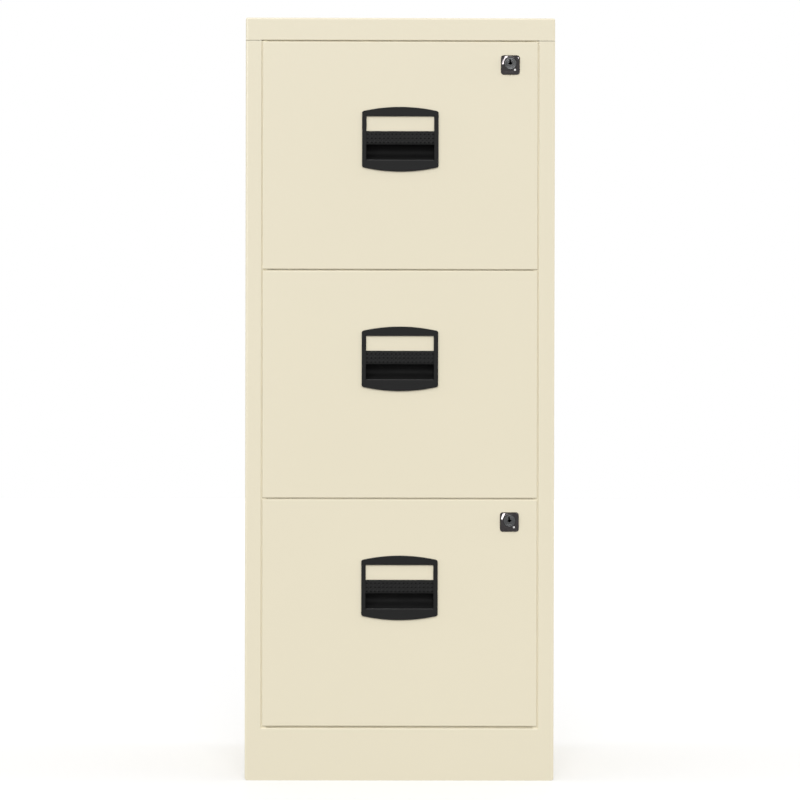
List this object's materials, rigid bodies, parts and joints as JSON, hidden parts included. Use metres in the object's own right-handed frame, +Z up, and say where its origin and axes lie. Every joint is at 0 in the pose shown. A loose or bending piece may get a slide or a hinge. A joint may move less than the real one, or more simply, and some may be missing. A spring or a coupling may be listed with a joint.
{
  "type": "hanging file cabinet",
  "caption": "Free-standing steel cabinet with full-width drawers for hanging files, on ball-bearing slides, with inset plastic pulls and cam locks.",
  "frame": {"origin": "on the floor under the middle of the cabinet's outline", "axes": "+Z up, -Y towards the front with the drawers, +X to the right of a person facing the front"},
  "size_m": [0.412, 0.4054, 1.016],
  "materials": {
    "body_paint": "semi-gloss powder coat, cream",
    "inner_paint": "semi-gloss powder coat, cream",
    "front_paint": "semi-gloss powder coat, cream",
    "tray_paint": "semi-gloss powder coat, cream",
    "file_rail_steel": "semi-gloss powder coat, cream",
    "slide_zinc": "bright zinc plate",
    "cage_steel": "bare rolled steel",
    "rivet_steel": "zinc plate",
    "handle_plastic": "fine grained black moulding",
    "lock_chrome": "polished dark nickel plate",
    "barrel_chrome": "dark nickel plate, turned face",
    "lock_zinc": "zinc plate",
    "nut_zinc": "zinc plate",
    "screw_steel": "zinc plate",
    "buffer_rubber": "matt grey rubber",
    "guide_nylon": "natural nylon"
  },
  "bodies": {
    "cabinet": {"side_shell_left": "body_paint", "side_shell_right": "body_paint", "top_cap": "body_paint", "plinth_rail": "body_paint", "base_pan": "inner_paint", "back_panel": "inner_paint", "top_rail": "inner_paint", "cross_rail_upper": "inner_paint", "cross_rail_lower": "inner_paint", "uprights_left": "inner_paint", "uprights_right": "inner_paint", "slide_outer_1": "slide_zinc", "slide_outer_2": "slide_zinc", "slide_outer_3": "slide_zinc", "slide_rivets": "rivet_steel", "drawer_buffers": "buffer_rubber", "lock_bar_guides": "guide_nylon"},
    "drawer_1": {"drawer_front_1": "front_paint", "drawer_liner_1": "tray_paint", "drawer_tray_1": "tray_paint", "file_rails_1": "file_rail_steel", "tray_rivets_1": "rivet_steel", "handle_1": "handle_plastic", "slide_inner_1": "slide_zinc", "lock_housing_top": "lock_chrome", "lock_nut_top": "nut_zinc"},
    "middle_members_1": {"slide_middle_1": "slide_zinc"},
    "outer_cages_1": {"outer_cages_1": "cage_steel"},
    "inner_cages_1": {"inner_cages_1": "cage_steel"},
    "drawer_2": {"drawer_front_2": "front_paint", "drawer_liner_2": "tray_paint", "drawer_tray_2": "tray_paint", "file_rails_2": "file_rail_steel", "tray_rivets_2": "rivet_steel", "handle_2": "handle_plastic", "slide_inner_2": "slide_zinc"},
    "middle_members_2": {"slide_middle_2": "slide_zinc"},
    "outer_cages_2": {"outer_cages_2": "cage_steel"},
    "inner_cages_2": {"inner_cages_2": "cage_steel"},
    "drawer_3": {"drawer_front_3": "front_paint", "drawer_liner_3": "tray_paint", "drawer_tray_3": "tray_paint", "file_rails_3": "file_rail_steel", "tray_rivets_3": "rivet_steel", "handle_3": "handle_plastic", "slide_inner_3": "slide_zinc", "lock_housing_bottom": "lock_chrome", "lock_nut_bottom": "nut_zinc"},
    "middle_members_3": {"slide_middle_3": "slide_zinc"},
    "outer_cages_3": {"outer_cages_3": "cage_steel"},
    "inner_cages_3": {"inner_cages_3": "cage_steel"},
    "lock_top": {"lock_barrel_top": "barrel_chrome", "lock_cam_top": "lock_zinc", "cam_screw_top": "screw_steel"},
    "lock_bottom": {"lock_barrel_bottom": "barrel_chrome", "lock_cam_bottom": "lock_zinc", "cam_screw_bottom": "screw_steel"},
    "lock_bar": {"lock_bar": "lock_zinc"}
  },
  "joints": [
    {"name": "drawer_1_slide", "type": "slide", "parent": "cabinet", "child": "drawer_1", "axis": [0, -1, 0], "range_m": [0, 0.34]},
    {"name": "drawer_2_slide", "type": "slide", "parent": "cabinet", "child": "drawer_2", "axis": [0, -1, 0], "range_m": [0, 0.34]},
    {"name": "drawer_3_slide", "type": "slide", "parent": "cabinet", "child": "drawer_3", "axis": [0, -1, 0], "range_m": [0, 0.34]},
    {"name": "middle_members_1_slide", "type": "slide", "parent": "cabinet", "child": "middle_members_1", "axis": [0, -1, 0], "range_m": [0, 0.17]},
    {"name": "outer_cages_1_slide", "type": "slide", "parent": "cabinet", "child": "outer_cages_1", "axis": [0, -1, 0], "range_m": [0, 0.085]},
    {"name": "inner_cages_1_slide", "type": "slide", "parent": "cabinet", "child": "inner_cages_1", "axis": [0, -1, 0], "range_m": [0, 0.255]},
    {"name": "middle_members_2_slide", "type": "slide", "parent": "cabinet", "child": "middle_members_2", "axis": [0, -1, 0], "range_m": [0, 0.17]},
    {"name": "outer_cages_2_slide", "type": "slide", "parent": "cabinet", "child": "outer_cages_2", "axis": [0, -1, 0], "range_m": [0, 0.085]},
    {"name": "inner_cages_2_slide", "type": "slide", "parent": "cabinet", "child": "inner_cages_2", "axis": [0, -1, 0], "range_m": [0, 0.255]},
    {"name": "middle_members_3_slide", "type": "slide", "parent": "cabinet", "child": "middle_members_3", "axis": [0, -1, 0], "range_m": [0, 0.17]},
    {"name": "outer_cages_3_slide", "type": "slide", "parent": "cabinet", "child": "outer_cages_3", "axis": [0, -1, 0], "range_m": [0, 0.085]},
    {"name": "inner_cages_3_slide", "type": "slide", "parent": "cabinet", "child": "inner_cages_3", "axis": [0, -1, 0], "range_m": [0, 0.255]},
    {"name": "lock_top_turn", "type": "hinge", "parent": "drawer_1", "child": "lock_top", "pos_m": [0.14625, -0.1973, 0.9554], "axis": [0, -1, 0], "range_deg": [0, 90]},
    {"name": "lock_bottom_turn", "type": "hinge", "parent": "drawer_3", "child": "lock_bottom", "pos_m": [0.14625, -0.1973, 0.34687], "axis": [0, -1, 0], "range_deg": [0, 90]},
    {"name": "lock_bar_lift", "type": "slide", "parent": "cabinet", "child": "lock_bar", "axis": [0, 0, 1], "range_m": [0, 0.0113]}
  ],
  "couplings": [
    {"joint": "middle_members_1_slide", "follows": "drawer_1_slide", "ratio": 0.5},
    {"joint": "outer_cages_1_slide", "follows": "drawer_1_slide", "ratio": 0.25},
    {"joint": "inner_cages_1_slide", "follows": "drawer_1_slide", "ratio": 0.75},
    {"joint": "middle_members_2_slide", "follows": "drawer_2_slide", "ratio": 0.5},
    {"joint": "outer_cages_2_slide", "follows": "drawer_2_slide", "ratio": 0.25},
    {"joint": "inner_cages_2_slide", "follows": "drawer_2_slide", "ratio": 0.75},
    {"joint": "middle_members_3_slide", "follows": "drawer_3_slide", "ratio": 0.5},
    {"joint": "outer_cages_3_slide", "follows": "drawer_3_slide", "ratio": 0.25},
    {"joint": "inner_cages_3_slide", "follows": "drawer_3_slide", "ratio": 0.75},
    {"joint": "lock_top_turn", "follows": "lock_bar_lift", "rad_per_m": 139}
  ]
}
